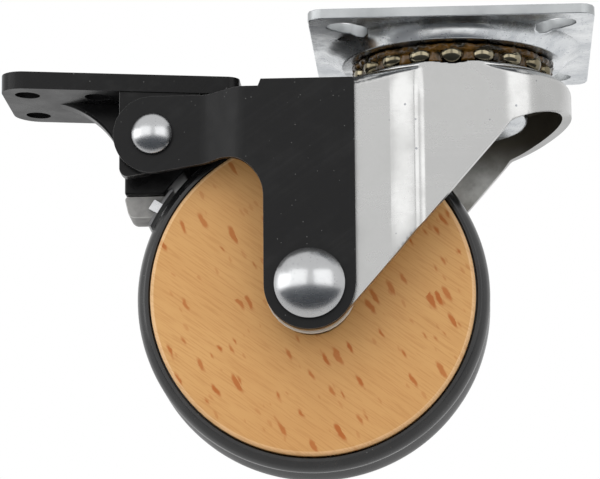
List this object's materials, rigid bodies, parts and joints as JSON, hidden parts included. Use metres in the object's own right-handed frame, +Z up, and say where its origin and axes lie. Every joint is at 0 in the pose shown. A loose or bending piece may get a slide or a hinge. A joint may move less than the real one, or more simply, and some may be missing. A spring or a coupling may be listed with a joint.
{
  "type": "swivel castor with brake",
  "caption": "Plate-mounted swivel castor with a wood-faced wheel, chromed fork, ball race and a foot-pedal brake.",
  "frame": {"origin": "centre of the mounting plate's top face, on the swivel axis", "axes": "+Z up out of the mounting face, Y along the axle at rest, wheel and pedal towards -X"},
  "size_m": [0.127, 0.06, 0.0944],
  "materials": {
    "zinc": "bright zinc plating",
    "chrome": "polished chrome plating",
    "steel": "bright steel",
    "black_paint": "satin black paint on pressed steel",
    "black_plastic": "moulded black plastic",
    "dark_plastic": "moulded dark grey plastic",
    "tyre": "smooth black tyre",
    "beech": "oiled beech with dark flecks",
    "nylon": "natural nylon"
  },
  "bodies": {
    "plate": {"top_plate": "zinc", "kingpin": "zinc", "lower_race_cup": "zinc"},
    "ball_ring": {"race_ball_01": "steel", "race_ball_02": "steel", "race_ball_03": "steel", "race_ball_04": "steel", "race_ball_05": "steel", "race_ball_06": "steel", "race_ball_07": "steel", "race_ball_08": "steel", "race_ball_09": "steel", "race_ball_10": "steel", "race_ball_11": "steel", "race_ball_12": "steel", "race_ball_13": "steel", "race_ball_14": "steel", "race_ball_15": "steel", "race_ball_16": "steel", "race_ball_17": "steel", "race_ball_18": "steel"},
    "swivel": {"fork": "chrome", "lower_thrust_ring": "nylon", "brake_bracket": "black_paint", "pedal_pin": "chrome", "axle_bolt": "chrome", "axle_cap": "chrome", "axle_sleeve": "steel", "washer_near": "zinc", "washer_far": "zinc"},
    "wheel": {"wheel_hub": "black_plastic", "tyre": "tyre", "wood_face_near": "beech", "wood_face_far": "beech", "bush_near": "nylon", "bush_far": "nylon"},
    "brake": {"brake_pedal": "black_plastic", "brake_shoe": "dark_plastic", "brake_leaf": "steel"}
  },
  "joints": [
    {"name": "swivel", "type": "hinge", "parent": "plate", "child": "swivel", "pos_m": [0, 0, 0], "axis": [0, 0, 1], "continuous": true},
    {"name": "ball_orbit", "type": "hinge", "parent": "plate", "child": "ball_ring", "pos_m": [0, 0, 0], "axis": [0, 0, 1], "continuous": true},
    {"name": "wheel_spin", "type": "hinge", "parent": "swivel", "child": "wheel", "pos_m": [-0.0303, 0, -0.0569], "axis": [0, 1, 0], "continuous": true},
    {"name": "brake_pedal", "type": "hinge", "parent": "swivel", "child": "brake", "pos_m": [-0.0638, 0, -0.023], "axis": [0, -1, 0], "range_deg": [-12, 1.5]}
  ],
  "couplings": [
    {"joint": "ball_orbit", "follows": "swivel", "ratio": 0.5}
  ]
}
